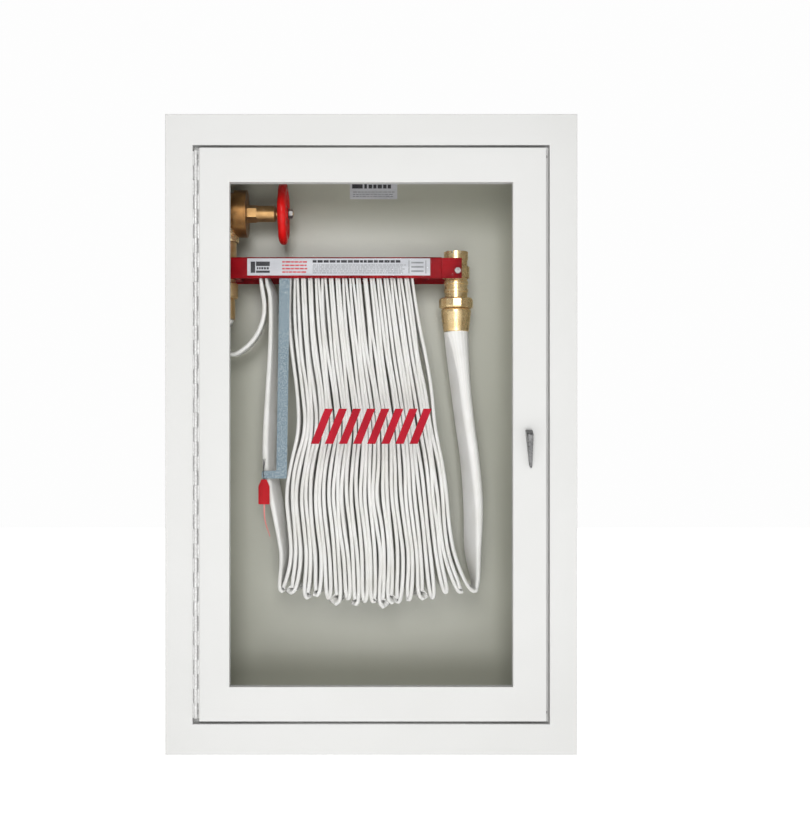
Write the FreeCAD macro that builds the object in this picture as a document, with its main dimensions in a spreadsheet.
import FreeCAD, Part
import Sketcher
import math
import os
import re

# Recessed fire hose cabinet: a steel tub and trim in the wall, a glazed door on a continuous
# hinge, an angle hose valve, and a swinging rack that carries 75 ft of folded hose and a nozzle.
# Frame: X to the right, Y into the wall, Z up. The origin is the centre of the trim, in the
# plane of the finished wall. All sizes are in millimetres.

doc = FreeCAD.newDocument("HoseCabinet")
sheet = doc.addObject("Spreadsheet::Sheet", "Sizes")

SIZES = {
    # trim and tub
    "trim_half_width": 349.25,
    "trim_half_height": 543.0,
    "trim_front": -8.0,
    "trim_sheet": 1.5,
    "opening_half_width": 302.5,
    "opening_half_height": 490.5,
    "jamb_back": 35.0,
    "stop_front": 9.5,
    "stop_width": 12.5,
    "tub_front": 2.0,
    "tub_back": 200.0,
    "tub_sheet": 1.2,
    "anchor_radius": 4.0,
    "anchor_near": 60.0,
    "anchor_far": 150.0,
    "anchor_height": 446.0,
    "anchor_drop": 30.0,
    # door
    "door_left": -291.5,
    "door_right": 297.0,
    "door_half_height": 486.3,
    "door_back": 8.0,
    "door_sheet": 1.5,
    "window_half_width": 240.3,
    "window_half_height": 427.5,
    "glass_front": 2.0,
    "glass_back": 6.0,
    "glass_bite": 7.0,
    "channel_width": 21.7,
    # continuous hinge
    "hinge_across": -297.0,
    "hinge_depth": -9.5,
    "hinge_half_length": 480.0,
    "barrel_radius": 3.2,
    "hinge_pin_radius": 1.5,
    "leaf_sheet": 1.2,
    "running_gap": 0.05,
    # door pull and catch
    "pull_across": 266.0,
    "pull_top": 8.0,
    "pull_bottom": -56.0,
    "pull_half_width": 6.0,
    "pull_reach": 24.0,
    "catch_height": -22.0,
    # angle valve: the stem and inlet lie along X, the outlet points down
    "pipe_across": -270.0,
    "pipe_depth": 125.0,
    "stem_height": 399.5,
    "thread_radius": 22.2,
    "inlet_end": -322.0,
    "barrel_end": -243.0,
    "outlet_end": 347.0,
    "stem_radius": 7.0,
    "wheel_across": -160.0,
    "wheel_radius": 56.0,
    "wheel_rim_radius": 7.7,
    "wheel_spokes": 5,
    # nipple and supply coupling
    "nipple_radius": 24.0,
    "nipple_bottom": 256.0,
    "swivel_radius": 29.0,
    "swivel_top": 273.4,
    "swivel_bottom": 246.0,
    "supply_bowl_bottom": 208.4,
    "bowl_radius": 23.5,
    # hose rack
    "rack_left": -296.0,
    "rack_right": 160.8,
    "rack_front": 84.0,
    "rack_back": 166.0,
    "rack_top": 315.3,
    "rack_bottom": 277.6,
    "rack_sheet": 2.5,
    "web_end": 125.0,
    "pin_radius": 1.5,
    "pin_height": 297.0,
    "pin_count": 19,
    "first_pin_across": -195.0,
    "second_pin_across": -140.0,
    "pin_pitch": 12.2,
    # hose
    "hose_width": 65.0,
    "hose_flat": 3.7,
    "hose_bend": 4.0,
    "fold_bend": 4.5,
    # nozzle
    "nozzle_across": 153.6,
    "nozzle_bowl_bottom": 186.1,
    "nozzle_swivel_bottom": 227.9,
    "nozzle_swivel_top": 246.6,
    "sleeve_bottom": 252.5,
    "sleeve_top": 330.0,
    "sleeve_radius": 20.5,
    "tip_radius": 21.8,
    "nozzle_barrel_radius": 15.0,
    # strap and seal tag
    "strap_left": -169.0,
    "strap_right": -150.0,
    "strap_foot_left": -195.0,
    "strap_bottom": -78.5,
    "strap_front": 87.0,
    "tag_across": -190.5,
    "tie_height": -72.7,
}
for row, (alias, value) in enumerate(SIZES.items(), start=1):
    sheet.set(f"A{row}", alias)
    sheet.set(f"B{row}", str(value))
    sheet.setAlias(f"B{row}", alias)
doc.recompute()

AXIS_TURNS = {
    "X": FreeCAD.Rotation(FreeCAD.Vector(0, 1, 0), 90),
    "Y": FreeCAD.Rotation(FreeCAD.Vector(1, 0, 0), -90),
    "Z": FreeCAD.Rotation(),
}
nodes = []


def bound(text):
    """An expression in the sheet's aliases: every word in the text is a cell."""
    return re.sub(r"[a-z][a-z_]+", lambda word: "Sizes." + word.group(), str(text))


def place(item, axis, base):
    """Turn an object made along Z onto an axis and bind its base point to the sheet."""
    item.Placement = FreeCAD.Placement(FreeCAD.Vector(0, 0, 0), AXIS_TURNS[axis])
    for letter, text in zip("xyz", base):
        item.setExpression(f"Placement.Base.{letter}", bound(text))


def along(axis, start, centre):
    """The three coordinates of a point on a line parallel to an axis."""
    others = list(centre)
    return [start if letter == axis else others.pop(0) for letter in "XYZ"]


def block(name, across, depth, height):
    """A box between two values along X, Y and Z."""
    box = doc.addObject("Part::Box", name)
    for side, (low, high) in zip(("Length", "Width", "Height"), (across, depth, height)):
        box.setExpression(side, bound(f"({high}) - ({low})"))
    place(box, "Z", (across[0], depth[0], height[0]))
    return box


def rod(name, axis, radius, start, end, centre):
    """A cylinder along an axis between two values; centre holds its other two coordinates."""
    cylinder = doc.addObject("Part::Cylinder", name)
    cylinder.setExpression("Radius", bound(radius))
    cylinder.setExpression("Height", bound(f"({end}) - ({start})"))
    place(cylinder, axis, along(axis, start, centre))
    return cylinder


def hexagon(name, axis, flats, start, end, centre):
    """A hexagonal bar along an axis, sized across its flats."""
    bar = doc.addObject("Part::Prism", name)
    bar.Polygon = 6
    bar.setExpression("Circumradius", bound(f"({flats}) / 1.7320508"))
    bar.setExpression("Height", bound(f"({end}) - ({start})"))
    place(bar, axis, along(axis, start, centre))
    return bar


def cut(name, base, *tools):
    """The base with every tool taken away."""
    result = doc.addObject("Part::Cut", name)
    result.Base = base
    result.Tool = tools[0] if len(tools) == 1 else fuse(name + "_tools", tools)
    return result


def fuse(name, pieces):
    """Pieces joined into one shape."""
    result = doc.addObject("Part::MultiFuse", name)
    result.Shapes = list(pieces)
    result.Refine = True
    return result


def group(name, pieces):
    """Separate solids kept together in one node."""
    result = doc.addObject("Part::Compound", name)
    result.Links = list(pieces)
    return result


def ring(name, across, height, inner_across, inner_height, depth):
    """A rectangular frame: a box with a smaller box taken out of its middle."""
    outer = block(name + "_outer", across, depth, height)
    past = (f"({depth[0]}) - 1", f"({depth[1]}) + 1")
    return cut(name, outer, block(name + "_inner", inner_across, past, inner_height))


def both(value):
    """The pair minus value, plus value."""
    return (f"-({value})", value)


def turned(name, axis, centre, profile):
    """A turned piece: corners of (radius, place along the axis) revolved about the axis."""
    body = doc.addObject("PartDesign::Body", name)
    plane = next(o for o in body.Origin.OriginFeatures if o.Role == "XZ_Plane")
    sketch = body.newObject("Sketcher::SketchObject", name + "_profile")
    sketch.AttachmentSupport = [(plane, "")]
    sketch.MapMode = "FlatFace"
    count = len(profile)
    first = [FreeCAD.Vector(40 + 9 * math.cos(2 * math.pi * i / count),
                            9 * math.sin(2 * math.pi * i / count), 0) for i in range(count)]
    for index in range(count):
        sketch.addGeometry(Part.LineSegment(first[index], first[(index + 1) % count]))
    for index in range(count):
        sketch.addConstraint(Sketcher.Constraint("Coincident", index, 2, (index + 1) % count, 1))
    for index, corner in enumerate(profile):
        for kind, text, value in zip(("DistanceX", "DistanceY"), corner, first[index]):
            number = sketch.addConstraint(Sketcher.Constraint(kind, -1, 1, index, 1, value))
            sketch.setExpression(f"Constraints[{number}]", bound(text))
    turn = body.newObject("PartDesign::Revolution", name + "_turning")
    turn.Profile = sketch
    turn.ReferenceAxis = (sketch, ["V_Axis"])
    turn.Angle = 360
    body.Tip = turn
    place(body, axis, along(axis, "0", centre))
    return body


def tube(name, axis, centre, outer, inner, start, end):
    """A plain round tube or washer."""
    corners = ((inner, start), (outer, start), (outer, end), (inner, end))
    return turned(name, axis, centre, corners)


def node(item):
    """Mark an object as one finished sub-part, named by its label."""
    nodes.append(item)
    return item


# ---- trim and tub -------------------------------------------------------------------------

OPENING = (both("opening_half_width"), both("opening_half_height"))
JAMB = (both("opening_half_width + trim_sheet"), both("opening_half_height + trim_sheet"))
TRIM = (both("trim_half_width"), both("trim_half_height"))
TRIM_INSIDE = (both("trim_half_width - trim_sheet"), both("trim_half_height - trim_sheet"))
STOP = (both("opening_half_width - stop_width"), both("opening_half_height - stop_width"))
PIPE = ("pipe_depth", "stem_height")
DROP = ("pipe_across", "pipe_depth")

node(fuse("trim_frame", [
    ring("trim_face", *TRIM, *OPENING, ("trim_front", "trim_front + trim_sheet")),
    ring("trim_return", *TRIM, *TRIM_INSIDE, ("trim_front + trim_sheet", "0")),
    ring("trim_jamb", *JAMB, *OPENING, ("trim_front + trim_sheet", "jamb_back")),
    ring("trim_stop", *OPENING, *STOP, ("stop_front", "stop_front + trim_sheet")),
]))

TUB_WALL = ("opening_half_width + trim_sheet", "opening_half_width + trim_sheet + tub_sheet")
TUB_END = ("opening_half_height + trim_sheet", "opening_half_height + trim_sheet + tub_sheet")
tub_holes = [rod("tub_pipe_hole", "X", "swivel_radius + 5", "inlet_end", "pipe_across", PIPE)]
tub_sides = []
tub_ends = []
for side, sign in (("left", -1), ("right", 1)):
    # The right side's anchors stand lower, so that the studs' screws never meet in line
    drop = "0" if sign < 0 else "anchor_drop"
    for depth in ("anchor_near", "anchor_far"):
        for level, height in (("high", "anchor_height"), ("low", "-anchor_height")):
            tub_holes.append(rod(f"tub_anchor_{side}_{depth}_{level}", "X", "anchor_radius",
                                 f"{sign} * ({TUB_WALL[0]}) - 5", f"{sign} * ({TUB_WALL[0]}) + 5",
                                 (depth, f"{height} - {drop}")))
    across = tuple(f"{sign} * ({edge})" for edge in TUB_WALL[::sign])
    height = tuple(f"{-sign} * ({edge})" for edge in TUB_END[::-sign])
    tub_sides.append(block(f"tub_side_{side}", across, ("tub_front", "tub_back"),
                           both(TUB_END[0])))
    tub_ends.append(block(f"tub_end_{side}", both(TUB_WALL[1]), ("tub_front", "tub_back"), height))
node(cut("tub_sides", group("tub_side_pair", tub_sides), *tub_holes))
node(group("tub_ends", tub_ends))
node(block("tub_back", both(TUB_WALL[1]), ("tub_back", "tub_back + tub_sheet"),
           both(TUB_END[1])))

node(turned("pipe_grommet", "X", PIPE, [
    ("swivel_radius + 1.2", "-opening_half_width - trim_sheet - 5"),
    ("swivel_radius + 8", "-opening_half_width - trim_sheet - 5"),
    ("swivel_radius + 8", "-opening_half_width - trim_sheet - tub_sheet"),
    ("swivel_radius + 5", "-opening_half_width - trim_sheet - tub_sheet"),
    ("swivel_radius + 5", "-opening_half_width - trim_sheet"),
    ("swivel_radius + 8", "-opening_half_width - trim_sheet"),
    ("swivel_radius + 8", "-opening_half_width + trim_sheet"),
    ("swivel_radius + 1.2", "-opening_half_width + trim_sheet"),
]))

bumpers = []
for side, across in (("left", "-opening_half_width + 6"), ("right", "opening_half_width - 6")):
    for level, sign in (("top", 1), ("bottom", -1)):
        bumpers.append(rod(f"bumper_{side}_{level}", "Y", "4", "door_back + 0.1", "stop_front",
                           (across, f"{sign} * (door_half_height - 12)")))
node(group("door_bumpers", bumpers))

node(block("wall_label", ("-40", "49"), ("tub_back - 0.4", "tub_back"), ("442", "487")))

# ---- door catch: a magnet behind the stop, and its keeper on the door ----------------------

CATCH = ("catch_height - 24", "catch_height + 24")
STOP_EDGE = "opening_half_width - stop_width"
catch_shell = cut("catch_shell",
                  block("catch_block", (f"{STOP_EDGE} - 20", STOP_EDGE), (9.7, 30), CATCH),
                  block("catch_pocket", (f"{STOP_EDGE} - 18", f"{STOP_EDGE} - 2"), (9, 28),
                        ("catch_height - 20", "catch_height + 20")))
catch_ear = block("catch_ear", (STOP_EDGE, "opening_half_width - 1.5"), (11, 13.5), CATCH)
ear_screws = [("opening_half_width - 6", f"catch_height + {step}") for step in (-16, 16)]
node(cut("catch_case", fuse("catch_case_blank", [catch_shell, catch_ear]),
         *[rod(f"catch_ear_hole_{i}", "Y", "2.05", "9", "15", spot)
           for i, spot in enumerate(ear_screws)]))
node(group("catch_poles", [
    block(f"catch_pole_{i}", (f"{STOP_EDGE} - {far}", f"{STOP_EDGE} - {near}"), (9.3, 27.5),
          ("catch_height - 19.5", "catch_height + 19.5"))
    for i, (far, near) in enumerate(((17.5, 15.5), (4.5, 2.5)))]))
node(block("catch_magnet", (f"{STOP_EDGE} - 15.4", f"{STOP_EDGE} - 4.6"), (11, 27),
           ("catch_height - 19", "catch_height + 19")))
node(block("catch_keeper", (f"{STOP_EDGE} - 18", f"{STOP_EDGE} - 2"),
           ("door_back", "door_back + 1.2"), ("catch_height - 20", "catch_height + 20")))
node(group("catch_screws", [
    fuse(f"catch_screw_{i}", [
        rod(f"catch_screw_head_{i}", "Y", "3.6", "13.5", "15.5", spot),
        rod(f"catch_screw_shank_{i}", "Y", "2", "11", "14", spot)])
    for i, spot in enumerate(ear_screws)]))

# ---- continuous hinge ----------------------------------------------------------------------

HINGE = ("hinge_across", "hinge_depth")
KNUCKLES = 39
WEB = ("hinge_depth + barrel_radius - leaf_sheet", "hinge_depth + barrel_radius")


def hinge_leaf(name, first, web, plate):
    """One leaf: a plate, its web and every second knuckle of the barrel."""
    solids = [block(name + "_plate", plate, (WEB[0], "door_back - 1"),
                    both("hinge_half_length"))]
    for number in range(first, KNUCKLES, 2):
        pitch = f"2 * hinge_half_length / {KNUCKLES}"
        low = f"-hinge_half_length + {number} * {pitch} + 0.15"
        high = f"-hinge_half_length + {number + 1} * {pitch} - 0.15"
        solids.append(block(f"{name}_web_{number}", web, WEB, (low, high)))
        solids.append(rod(f"{name}_knuckle_{number}", "Z", "barrel_radius", low, high, HINGE))
    bore = rod(name + "_bore", "Z", "hinge_pin_radius + running_gap",
               "-hinge_half_length - 1", "hinge_half_length + 1", HINGE)
    return cut(name, fuse(name + "_solids", solids), bore)


node(hinge_leaf("hinge_frame_leaf", 0, ("-opening_half_width", "hinge_across"),
                ("-opening_half_width", "-opening_half_width + leaf_sheet")))
node(hinge_leaf("hinge_door_leaf", 1, ("hinge_across", "door_left"),
                ("door_left - leaf_sheet", "door_left")))
node(rod("hinge_pin", "Z", "hinge_pin_radius", "-hinge_half_length", "hinge_half_length", HINGE))

# ---- door ----------------------------------------------------------------------------------

DOOR = (("door_left", "door_right"), both("door_half_height"))
DOOR_INSIDE = (("door_left + door_sheet", "door_right - door_sheet"),
               both("door_half_height - door_sheet"))
WINDOW = (both("window_half_width"), both("window_half_height"))


def around_window(extra):
    """The window's outline grown by a margin, as a pair of across and height."""
    return (both(f"window_half_width + {extra}"), both(f"window_half_height + {extra}"))


pull_spots = [("pull_across + 2.5", "pull_top - 12"), ("pull_across + 3", "pull_bottom + 12")]
door_shell = fuse("door_shell", [
    ring("door_face", *DOOR, *WINDOW, ("trim_front", "trim_front + door_sheet")),
    ring("door_edge", *DOOR, *DOOR_INSIDE,
         ("trim_front + door_sheet", "door_back - door_sheet")),
    ring("door_window_edge", *around_window("door_sheet"), *WINDOW,
         ("trim_front + door_sheet", "glass_front - 1")),
    ring("door_channel_seat", *around_window("glass_bite + 6"),
         *around_window("glass_bite + 4.5"), ("trim_front + door_sheet", "glass_back")),
])
node(cut("door_panel", door_shell,
         *[rod(f"pull_hole_{i}", "Y", "2.55", "trim_front - 1", "trim_front + 3", spot)
           for i, spot in enumerate(pull_spots)]))
node(ring("door_backing", *DOOR, *around_window("channel_width + 0.3"),
          ("door_back - door_sheet", "door_back")))
node(ring("glazing_gasket", *around_window("glass_bite"), *WINDOW,
          ("glass_front - 1", "glass_front")))
node(block("glass_pane", both("window_half_width + glass_bite - 1"),
           ("glass_front", "glass_back"), both("window_half_height + glass_bite - 1")))

screw_spots = []
for across in ("window_half_width + 16", "-window_half_width - 16"):
    screw_spots += [(across, f"{step} * (window_half_height - 20)") for step in (-1, -0.33, 0.33, 1)]
for height in ("window_half_height + 16", "-window_half_height - 16"):
    screw_spots += [(f"{step} * (window_half_width - 20)", height) for step in (-1, 0, 1)]
node(cut("glazing_channels",
         ring("glazing_channel_ring", *around_window("channel_width"), *WINDOW,
              ("glass_back", "door_back")),
         *[rod(f"channel_hole_{i}", "Y", "1.85", "glass_back - 1", "door_back + 1", spot)
           for i, spot in enumerate(screw_spots)]))
node(group("glazing_screws", [
    fuse(f"glazing_screw_{i}", [
        rod(f"glazing_screw_head_{i}", "Y", "3.2", "door_back", "door_back + 1.2", spot),
        rod(f"glazing_screw_shank_{i}", "Y", "1.8", "glass_back - 6", "door_back + 1", spot)])
    for i, spot in enumerate(screw_spots)]))

pull_fin = doc.addObject("Part::Wedge", "pull_fin")
for name, text in (("Xmin", "-pull_half_width"), ("Xmax", "pull_half_width"),
                   ("X2min", "0"), ("X2max", "pull_half_width"),
                   ("Ymin", "0"), ("Ymax", "pull_top - pull_bottom"),
                   ("Zmin", "0"), ("Zmax", "pull_reach"),
                   ("Z2min", "pull_reach / 4"), ("Z2max", "pull_reach")):
    pull_fin.setExpression(name, bound(text))
place(pull_fin, "Y", ("pull_across", "trim_front - pull_reach", "pull_top"))
node(cut("door_pull", pull_fin,
         *[rod(f"pull_tapping_{i}", "Y", "2.05", "trim_front - 9", "trim_front + 1", spot)
           for i, spot in enumerate(pull_spots)]))
node(group("pull_screws", [
    fuse(f"pull_screw_{i}", [
        rod(f"pull_screw_head_{i}", "Y", "4", "trim_front + door_sheet",
            "trim_front + door_sheet + 2.5", spot),
        rod(f"pull_screw_shank_{i}", "Y", "2", "trim_front - 8", "trim_front + 3", spot)])
    for i, spot in enumerate(pull_spots)]))

# ---- angle valve ---------------------------------------------------------------------------

SEAT = "pipe_across - 20"
valve_casting = turned("valve_casting", "X", PIPE, [
    ("thread_radius", "inlet_end"), ("swivel_radius + 1", "inlet_end"),
    ("swivel_radius + 1", "-300"), ("38", "-296"), ("38", "barrel_end"),
    ("27", "barrel_end"), ("27", SEAT), ("18", SEAT), ("18", "inlet_end + 26"),
    ("thread_radius", "inlet_end + 26"),
])
branch = rod("valve_branch", "Z", "28.5", "outlet_end", "stem_height", DROP)
chamber = rod("valve_chamber", "X", "27", SEAT, "barrel_end", PIPE)
outlet_bore = rod("valve_outlet_bore", "Z", "thread_radius", "outlet_end - 1", "stem_height",
                  DROP)
inlet_thread = rod("valve_inlet_thread", "X", "thread_radius", "inlet_end - 1", "inlet_end + 26",
                   PIPE)
waterway = rod("valve_waterway", "X", "18", "inlet_end", SEAT, PIPE)
ring_room = rod("valve_ring_room", "X", "43", "barrel_end", "barrel_end + 20", PIPE)
ring_groove = tube("valve_ring_groove", "X", PIPE, "43", "38", "barrel_end - 3.2", "barrel_end")
node(cut("valve_body", fuse("valve_blank", [valve_casting, branch]), chamber, outlet_bore,
         inlet_thread, waterway, ring_room, ring_groove))
node(tube("seat_ring", "X", PIPE, "26.95", "18", SEAT, f"{SEAT} + 3"))
node(turned("disc_washer", "X", PIPE, [
    ("4", f"{SEAT} + 3"), ("23", f"{SEAT} + 3"), ("23", f"{SEAT} + 6"), ("4", f"{SEAT} + 6")]))
node(turned("disc_holder", "X", PIPE, [
    ("0", f"{SEAT} + 3"), ("3.95", f"{SEAT} + 3"), ("3.95", f"{SEAT} + 6"),
    ("21", f"{SEAT} + 6"), ("21", f"{SEAT} + 9"), ("12", f"{SEAT} + 16"),
    ("stem_radius + running_gap", f"{SEAT} + 16"), ("stem_radius + running_gap", f"{SEAT} + 9"),
    ("0", f"{SEAT} + 9")]))
node(tube("bonnet_gasket", "X", PIPE, "36", "27", "barrel_end", "barrel_end + 1.5"))
BONNET = "barrel_end + 1.5"
bonnet_turning = turned("bonnet_turning", "X", PIPE, [
    ("stem_radius + running_gap", BONNET), ("37", BONNET), ("37", f"{BONNET} + 5.5"),
    ("27.5", f"{BONNET} + 5.5"), ("27.5", f"{BONNET} + 17"), ("13", f"{BONNET} + 17.8"),
    ("13", "-207"), ("12", "-207"), ("12", "-186"), ("10", "-186"), ("10", "-203"),
    ("stem_radius + running_gap", "-203")])
bonnet_hex = cut("bonnet_hex", hexagon("bonnet_hex_bar", "X", "27.5", "-224", "-207", PIPE),
                 rod("bonnet_hex_bore", "X", "12.5", "-225", "-206", PIPE))
node(fuse("bonnet", [bonnet_turning, bonnet_hex]))
node(turned("bonnet_ring", "X", PIPE, [
    ("38.05", "barrel_end - 3"), ("42.5", "barrel_end - 3"), ("42.5", "-224"), ("28", "-224"),
    ("28", f"{BONNET} + 5.6"), ("38.05", f"{BONNET} + 5.6")]))
node(tube("stem_packing", "X", PIPE, "9.95", "stem_radius + running_gap", "-203", "-191"))
node(turned("packing_gland", "X", PIPE, [
    ("stem_radius + running_gap", "-191"), ("9.9", "-191"), ("9.9", "-186"), ("11.8", "-186"),
    ("11.8", "-184"), ("stem_radius + running_gap", "-184")]))
node(turned("packing_nut", "X", PIPE, [
    ("12.05", "-206.8"), ("14.8", "-206.8"), ("14.8", "-175"), ("12", "-172"),
    ("stem_radius + running_gap", "-172"), ("stem_radius + running_gap", "-184"),
    ("12.05", "-184")]))

WHEEL_HUB = ("wheel_across - 8", "wheel_across + 10")
node(turned("valve_stem", "X", PIPE, [
    ("0", f"{SEAT} + 9.5"), ("stem_radius", f"{SEAT} + 9.5"), ("stem_radius", WHEEL_HUB[0]),
    ("5", WHEEL_HUB[0]), ("5", "-141"), ("0", "-141")]))
wheel_rim = doc.addObject("Part::Torus", "wheel_rim")
wheel_rim.setExpression("Radius1", bound("wheel_radius - wheel_rim_radius"))
wheel_rim.setExpression("Radius2", bound("wheel_rim_radius"))
place(wheel_rim, "X", ("wheel_across", *PIPE))
wheel_hub = rod("wheel_hub", "X", "13", *WHEEL_HUB, PIPE)
spokes = []
for number in range(SIZES["wheel_spokes"]):
    spoke = doc.addObject("Part::Cylinder", f"wheel_spoke_{number}")
    spoke.setExpression("Radius", bound("wheel_rim_radius / 2"))
    spoke.setExpression("Height", bound("wheel_radius - wheel_rim_radius"))
    place(spoke, "Z", ("wheel_across", *PIPE))
    turn = 360 * number / SIZES["wheel_spokes"]
    spoke.Placement.Rotation = FreeCAD.Rotation(FreeCAD.Vector(1, 0, 0), turn)
    spokes.append(spoke)
node(cut("handwheel", fuse("wheel_casting", [wheel_rim, wheel_hub, *spokes]),
         rod("wheel_bore", "X", "5", "wheel_across - 20", "wheel_across + 20", PIPE)))
node(tube("wheel_washer", "X", PIPE, "9.5", "5", "-150", "-148.5"))
node(cut("wheel_nut", hexagon("wheel_nut_bar", "X", "14", "-148.5", "-142", PIPE),
         rod("wheel_nut_bore", "X", "5", "-149", "-141", PIPE)))

# ---- nipple and supply coupling ------------------------------------------------------------

node(turned("rack_nipple", "Z", DROP, [
    ("18", "nipple_bottom"), ("nipple_radius", "nipple_bottom"),
    ("nipple_radius", "rack_top + 2"), ("26", "rack_top + 2"), ("26", "outlet_end"),
    ("thread_radius - 0.05", "outlet_end"), ("thread_radius - 0.05", "outlet_end + 22"),
    ("18", "outlet_end + 22")]))
node(tube("nipple_gasket", "Z", DROP, "nipple_radius", "18", "nipple_bottom - 2",
          "nipple_bottom"))
node(turned("supply_swivel", "Z", DROP, [
    ("22.1", "swivel_bottom"), ("swivel_radius - 2", "swivel_bottom"),
    ("swivel_radius", "swivel_bottom + 2"), ("swivel_radius", "swivel_top - 2"),
    ("swivel_radius - 2", "swivel_top"), ("nipple_radius + 0.02", "swivel_top"),
    ("nipple_radius + 0.02", "nipple_bottom - 2"), ("25.1", "nipple_bottom - 2"),
    ("25.1", "swivel_bottom + 3"), ("22.1", "swivel_bottom + 3")]))
node(turned("supply_bowl", "Z", DROP, [
    ("17", "supply_bowl_bottom"), ("bowl_radius", "supply_bowl_bottom"),
    ("bowl_radius", "swivel_bottom - 5"), ("22", "swivel_bottom - 0.4"),
    ("22", "swivel_bottom + 3.1"), ("25", "swivel_bottom + 3.1"), ("25", "nipple_bottom - 2.1"),
    ("17", "nipple_bottom - 2.1")]))

# ---- swinging rack -------------------------------------------------------------------------

RACK = ("rack_left", "rack_right")
front_plate = block("rack_front_plate", RACK, ("rack_front", "rack_front + rack_sheet"),
                    ("rack_bottom", "rack_top"))
back_plate = block("rack_back_plate", RACK, ("rack_back - rack_sheet", "rack_back"),
                   ("rack_bottom", "rack_top"))
web = block("rack_web", ("rack_left", "web_end"), ("rack_front", "rack_back"),
            ("rack_top - rack_sheet", "rack_top"))
CLIP_BOLT = ("nozzle_across", "291")
CLAMP_BOLTS = [("rack_left + 9", "288"), ("rack_left + 9", "304")]
rack_holes = [rod("rack_nipple_hole", "Z", "nipple_radius + 1", "rack_top - 10",
                  "rack_top + 10", DROP)]
for i, spot in enumerate([CLIP_BOLT] + CLAMP_BOLTS):
    rack_holes.append(rod(f"rack_bolt_hole_{i}", "Y", "3.05", "rack_front - 5",
                          "rack_front + 8", spot))
node(cut("rack_channel", fuse("rack_plates", [front_plate, back_plate, web]), *rack_holes))

clamp_block = block("clamp_block", ("rack_left", "-236"),
                    ("rack_front + rack_sheet", "rack_back - rack_sheet"),
                    ("280", "rack_top - rack_sheet"))
clamp_holes = [rod(f"clamp_tapping_{i}", "Y", "3", "rack_front - 5", "rack_front + 14", spot)
               for i, spot in enumerate(CLAMP_BOLTS)]
node(cut("rack_clamp", clamp_block,
         rod("clamp_bore", "Z", "nipple_radius + running_gap", "270", "320", DROP),
         *clamp_holes))


def hex_bolt(name, spot, length):
    """A hexagon head bolt put in from the rack's front, with a shank along Y."""
    return fuse(name, [
        hexagon(name + "_head", "Y", "10", "rack_front - 4", "rack_front", spot),
        rod(name + "_shank", "Y", "3", "rack_front - 2", f"rack_front + {length}", spot)])


node(group("clamp_bolts", [hex_bolt(f"clamp_bolt_{i}", spot, 13)
                           for i, spot in enumerate(CLAMP_BOLTS)]))
node(hex_bolt("clip_bolt", CLIP_BOLT, 10))


def pin_across(number):
    """Where a pin stands along the rack; the first carries only the supply strand."""
    if number == 0:
        return "first_pin_across"
    return f"second_pin_across + {number - 1} * pin_pitch"


node(group("hose_pins", [
    rod(f"hose_pin_{i}", "Y", "pin_radius", "rack_front + rack_sheet", "rack_back - rack_sheet",
        (pin_across(i), "pin_height")) for i in range(SIZES["pin_count"])]))
node(block("rack_label", ("-220", "104.7"), ("rack_front - 0.5", "rack_front"),
           ("282.4", "312.6")))

NOZZLE = ("nozzle_across", "pipe_depth")
clip_band = tube("clip_band", "Z", NOZZLE, "24.3", "22.6", "283", "303")
clip_arm = block("clip_arm", ("nozzle_across - 7", "nozzle_across + 7"),
                 ("rack_front + rack_sheet", "103"), ("283", "303"))
node(cut("nozzle_clip", fuse("clip_blank", [clip_band, clip_arm]),
         rod("clip_clear", "Z", "22.6", "282", "304", NOZZLE),
         rod("clip_tapping", "Y", "3", "rack_front", "rack_front + 12", CLIP_BOLT),
         block("clip_mouth", ("nozzle_across - 13", "nozzle_across + 13"), (135, 160),
               (282, 304))))

strap_drop = block("strap_drop", ("strap_left", "strap_right"),
                   ("strap_front", "strap_front + 1.2"), ("strap_bottom", "rack_top - 3"))
strap_foot = block("strap_foot", ("strap_foot_left", "strap_left"),
                   ("strap_front", "strap_front + 1.2"), ("strap_bottom", "strap_bottom + 14.5"))
node(cut("retainer_strap", fuse("strap_blank", [strap_drop, strap_foot]),
         rod("strap_eye", "Y", "2.2", "strap_front - 1", "strap_front + 3",
             ("tag_across", "tie_height"))))

# ---- nozzle --------------------------------------------------------------------------------

node(turned("nozzle_bowl", "Z", NOZZLE, [
    ("15", "nozzle_bowl_bottom"), ("bowl_radius", "nozzle_bowl_bottom"),
    ("bowl_radius", "nozzle_swivel_bottom - 4"), ("21", "nozzle_swivel_bottom"),
    ("18.9", "nozzle_swivel_bottom"), ("18.9", "nozzle_swivel_bottom + 8"),
    ("15", "nozzle_swivel_bottom + 8")]))
node(turned("nozzle_swivel", "Z", NOZZLE, [
    ("19", "nozzle_swivel_bottom"), ("swivel_radius - 2", "nozzle_swivel_bottom"),
    ("swivel_radius", "nozzle_swivel_bottom + 2"), ("swivel_radius", "nozzle_swivel_top - 2"),
    ("swivel_radius - 2", "nozzle_swivel_top"), ("19", "nozzle_swivel_top")]))
node(turned("nozzle_body", "Z", NOZZLE, [
    ("10", "nozzle_swivel_bottom + 8.1"), ("18.9", "nozzle_swivel_bottom + 8.1"),
    ("18.9", "nozzle_swivel_top"), ("sleeve_radius", "nozzle_swivel_top"),
    ("sleeve_radius", "sleeve_bottom - 0.5"), ("nozzle_barrel_radius", "sleeve_bottom - 0.5"),
    ("nozzle_barrel_radius", "sleeve_top - 14"), ("10", "sleeve_top - 14")]))
node(turned("nozzle_baffle", "Z", NOZZLE, [
    ("0", "sleeve_top - 34"), ("9.95", "sleeve_top - 34"), ("9.95", "sleeve_top - 30"),
    ("4", "sleeve_top - 28"), ("4", "sleeve_top - 12"), ("12", "sleeve_top - 8"),
    ("12", "sleeve_top - 5"), ("0", "sleeve_top - 3")]))
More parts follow.
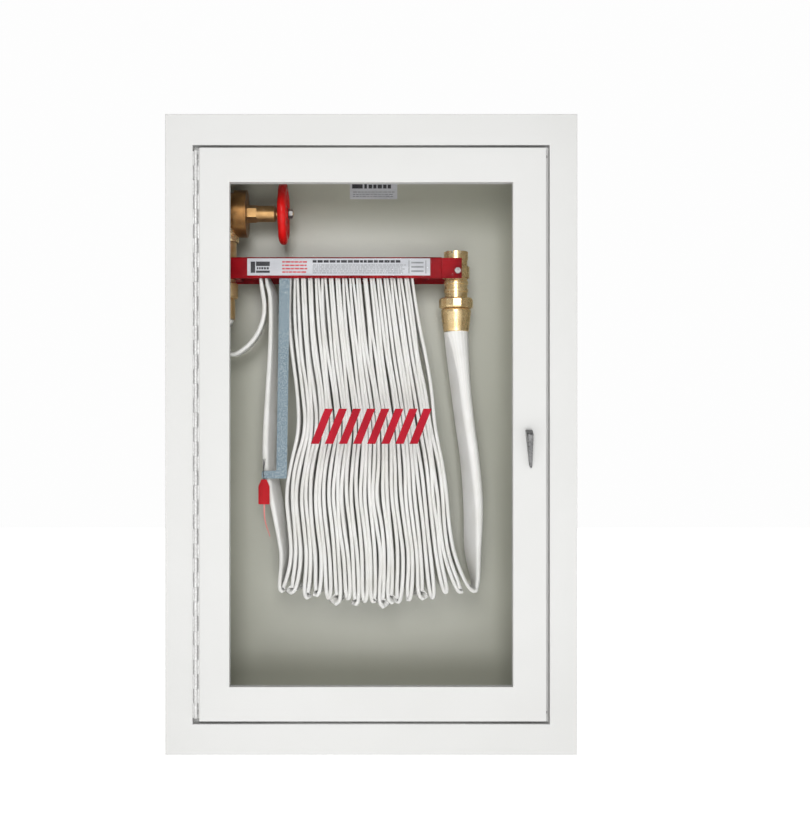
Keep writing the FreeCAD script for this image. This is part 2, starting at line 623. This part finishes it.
node(tube("nozzle_seal", "Z", NOZZLE, "17.05", "nozzle_barrel_radius + running_gap",
          "sleeve_bottom + 28.1", "sleeve_bottom + 30.9"))
SLEEVE_BORE = "nozzle_barrel_radius + running_gap"
sleeve_turning = turned("sleeve_turning", "Z", NOZZLE, [
    (SLEEVE_BORE, "sleeve_bottom"), ("sleeve_radius", "sleeve_bottom"),
    ("sleeve_radius", "sleeve_bottom + 4"), ("22", "sleeve_bottom + 5"),
    ("22", "sleeve_bottom + 10"), ("sleeve_radius", "sleeve_bottom + 11"),
    ("sleeve_radius", "sleeve_bottom + 18"), ("22", "sleeve_bottom + 19"),
    ("22", "sleeve_bottom + 24"), ("sleeve_radius", "sleeve_bottom + 25"),
    ("sleeve_radius", "sleeve_top - 16"), ("tip_radius", "sleeve_top - 14"),
    ("tip_radius", "sleeve_top"), ("17", "sleeve_top"), ("17", "sleeve_top - 13"),
    (SLEEVE_BORE, "sleeve_top - 16"), (SLEEVE_BORE, "sleeve_bottom + 31"),
    ("17.15", "sleeve_bottom + 31"), ("17.15", "sleeve_bottom + 28"),
    (SLEEVE_BORE, "sleeve_bottom + 28")])
notches = []
for number in range(4):
    notch = block(f"tip_notch_{number}", ("0", "0 + 3.4"), ("0", "2 * tip_radius + 2"),
                  ("sleeve_top - 4.5", "sleeve_top + 1"))
    turn = FreeCAD.Rotation(FreeCAD.Vector(0, 0, 1), 45 * number + 22.5)
    corner = turn.multVec(FreeCAD.Vector(1.7, SIZES["tip_radius"] + 1, 0))
    notch.Placement.Rotation = turn
    notch.setExpression("Placement.Base.x", bound(f"nozzle_across - ({corner.x})"))
    notch.setExpression("Placement.Base.y", bound(f"pipe_depth - ({corner.y})"))
    notches.append(notch)
node(cut("nozzle_sleeve", sleeve_turning, *notches))

# ---- seal tag ------------------------------------------------------------------------------

tie = doc.addObject("Part::Torus", "tie_ring")
tie.Radius1 = 4.5
tie.Radius2 = 0.7
place(tie, "X", ("tag_across", "strap_front + 0.6", "tie_height - 4.5"))
node(tie)
tag_plate = block("tag_plate", ("tag_across - 10", "tag_across + 10"),
                  ("strap_front - 2.5", "strap_front - 1.3"), ("-124", "tie_height - 7"))
tag_tail = block("tag_tail", ("tag_across - 1.2", "tag_across + 1.2"),
                 ("strap_front - 2.5", "strap_front - 1.3"), ("-183", "-124"))
node(cut("seal_tag", fuse("tag_blank", [tag_plate, tag_tail]),
         rod("tag_eye", "Y", "2", "strap_front - 5", "strap_front + 1",
             ("tag_across", "tie_height - 8.5"))))

# ---- hose ----------------------------------------------------------------------------------


def fold_centre(number):
    """A bottom fold's middle: folds spread wider than the pins, and hang lowest in the middle."""
    share = number / (SIZES["pin_count"] - 1)
    across = -161 + 344 * share
    across += 14 * math.sin(2 * math.pi * share) - 8 * math.sin(math.pi * share)
    height = -277 - 22 * math.sin(math.pi * share) + 3.5 * math.sin(2.4 * number)
    return across, height


# The pack's left and right sides at six levels: (height, left, right)
PACK_LEVELS = ((200.0, -144.0, 84.0), (100.0, -141.0, 106.0), (5.0, -134.0, 114.0),
               (-65.0, -148.0, 131.0), (-135.0, -153.0, 138.0), (-215.0, -147.0, 143.0))
# Middle line of the supply loop, from the coupling to the first pin, then down to the first fold
SUPPLY_ROUTE = ((-270.0, 207.9), (-271.5, 178.0), (-264.0, 150.0), (-243.0, 140.0),
                (-218.0, 150.0), (-199.0, 185.0), (-190.0, 230.0))
FIRST_STRAND = ((-178.0, 240.0), (-175.0, 165.0), (-180.0, 60.0), (-179.0, -20.0),
                (-168.0, -110.0), (-157.0, -180.0), (-154.5, -220.0))
TAIL_ROUTE = ((181.0, -160.0), (180.0, -70.0), (168.0, 30.0), (156.5, 110.0), (153.6, 186.0))


def hose_route():
    """Corners of the hose's middle line, as (across, height), from coupling to nozzle."""
    pins = SIZES["pin_count"]
    bend = SIZES["hose_bend"]
    fold = SIZES["fold_bend"]
    over = SIZES["pin_height"] + bend
    below = SIZES["pin_height"] - 7
    middles = [SIZES["first_pin_across"]]
    middles += [SIZES["second_pin_across"] + i * SIZES["pin_pitch"] for i in range(pins - 1)]
    folds = [fold_centre(i) for i in range(pins)]
    strands = 2 * (pins - 1)
    route = list(SUPPLY_ROUTE)
    for number, middle in enumerate(middles):
        route += [(middle - bend, below), (middle - bend, over),
                  (middle + bend, over), (middle + bend, below)]
        if number == 0:
            route += FIRST_STRAND
        else:
            share = (2 * number - 1) / (strands - 1)
            route += [(left + (right - left) * share, height)
                      for height, left, right in PACK_LEVELS]
        across, height = folds[number]
        route += [(across - fold, height), (across + fold, height)]
        if number < pins - 1:
            share = 2 * number / (strands - 1)
            route += [(left + (right - left) * share, height)
                      for height, left, right in reversed(PACK_LEVELS)]
    return route + list(TAIL_ROUTE)


def ribbon_face(corners, thickness, widest):
    """A flat band along straight runs and tangent arcs, with each arc as wide as its runs allow."""
    points = [FreeCAD.Vector(x, 0, z) for x, z in corners]
    half = thickness / 2
    normals = []
    for start, end in zip(points, points[1:]):
        run = (end - start).normalize()
        normals.append(FreeCAD.Vector(run.z, 0, -run.x))
    sides = {1: [], -1: []}
    for side, edges in sides.items():
        last = points[0] + normals[0] * (half * side)
        for index in range(1, len(points) - 1):
            corner = points[index]
            run_in = (corner - points[index - 1]).normalize()
            run_out = (points[index + 1] - corner).normalize()
            turn = run_in.getAngle(run_out)
            if turn < 0.001:
                continue
            bend = 1 if run_in.x * run_out.z - run_in.z * run_out.x > 0 else -1
            shorter = min(corner.distanceToPoint(points[index - 1]),
                          corner.distanceToPoint(points[index + 1]))
            radius = min(widest, 0.49 * shorter / math.tan(turn / 2))
            setback = radius * math.tan(turn / 2)
            centre = corner - run_in * setback - normals[index - 1] * (radius * bend)
            offset = radius + half * side * bend
            start = centre + normals[index - 1] * (offset * bend)
            end = centre + normals[index] * (offset * bend)
            middle_way = (normals[index - 1] + normals[index]).normalize()
            middle = centre + middle_way * (offset * bend)
            edges.append(Part.LineSegment(last, start).toShape())
            edges.append(Part.Arc(start, middle, end).toShape())
            last = end
        tip = points[-1] + normals[-1] * (half * side)
        edges.append(Part.LineSegment(last, tip).toShape())
    ends = [Part.LineSegment(sides[1][i].Vertexes[v].Point, sides[-1][i].Vertexes[v].Point)
            for i, v in ((0, 0), (-1, -1))]
    outline = sides[1] + sides[-1] + [line.toShape() for line in ends]
    return Part.Face(Part.Wire(Part.__sortEdges__(outline)))


def oval(across, height, half_thick, half_wide):
    """An oval hose section lying level, wide along Y."""
    middle = FreeCAD.Vector(across, SIZES["pipe_depth"], height)
    shape = Part.Ellipse(middle + FreeCAD.Vector(0, half_wide, 0),
                         middle + FreeCAD.Vector(half_thick, 0, 0), middle)
    return Part.Wire([shape.toShape()])


route = hose_route()
band = ribbon_face(route, SIZES["hose_flat"], 200.0)
ribbon = band.extrude(FreeCAD.Vector(0, SIZES["hose_width"], 0))
ribbon.translate(FreeCAD.Vector(0, SIZES["pipe_depth"] - SIZES["hose_width"] / 2, 0))
supply_flare = Part.makeLoft([oval(-270.0, 208.2, 21.5, 22.0), oval(-270.6, 192.0, 15.0, 27.0),
                              oval(-271.3, 178.0, 5.0, 31.5)], True, True)
nozzle_flare = Part.makeLoft([oval(153.6, 186.0, 21.5, 22.0), oval(155.5, 120.0, 15.0, 27.0),
                              oval(163.0, 60.0, 10.0, 30.5)], True, True)
hose = doc.addObject("Part::Feature", "hose")
hose.Shape = ribbon.fuse([supply_flare, nozzle_flare])
hose.Placement = FreeCAD.Placement()
node(hose)
length = sum(math.dist(a, b) for a, b in zip(route, route[1:]))
print(f"hose route {length / 1000:.2f} m, volume {hose.Shape.Volume:.0f} mm3")

# ---- checks and files ----------------------------------------------------------------------

doc.recompute()
for item in doc.Objects:
    if "Invalid" in item.State or "Error" in item.State:
        raise RuntimeError(f"{item.Name} failed: {item.State}")
for item in nodes:
    if item.Shape.isNull() or not item.Shape.isValid():
        raise RuntimeError(f"{item.Label} has no valid shape")

os.makedirs("parts", exist_ok=True)
for item in nodes:
    item.Shape.exportStep(f"parts/{item.Label}.step")
print(len(nodes), "parts written")
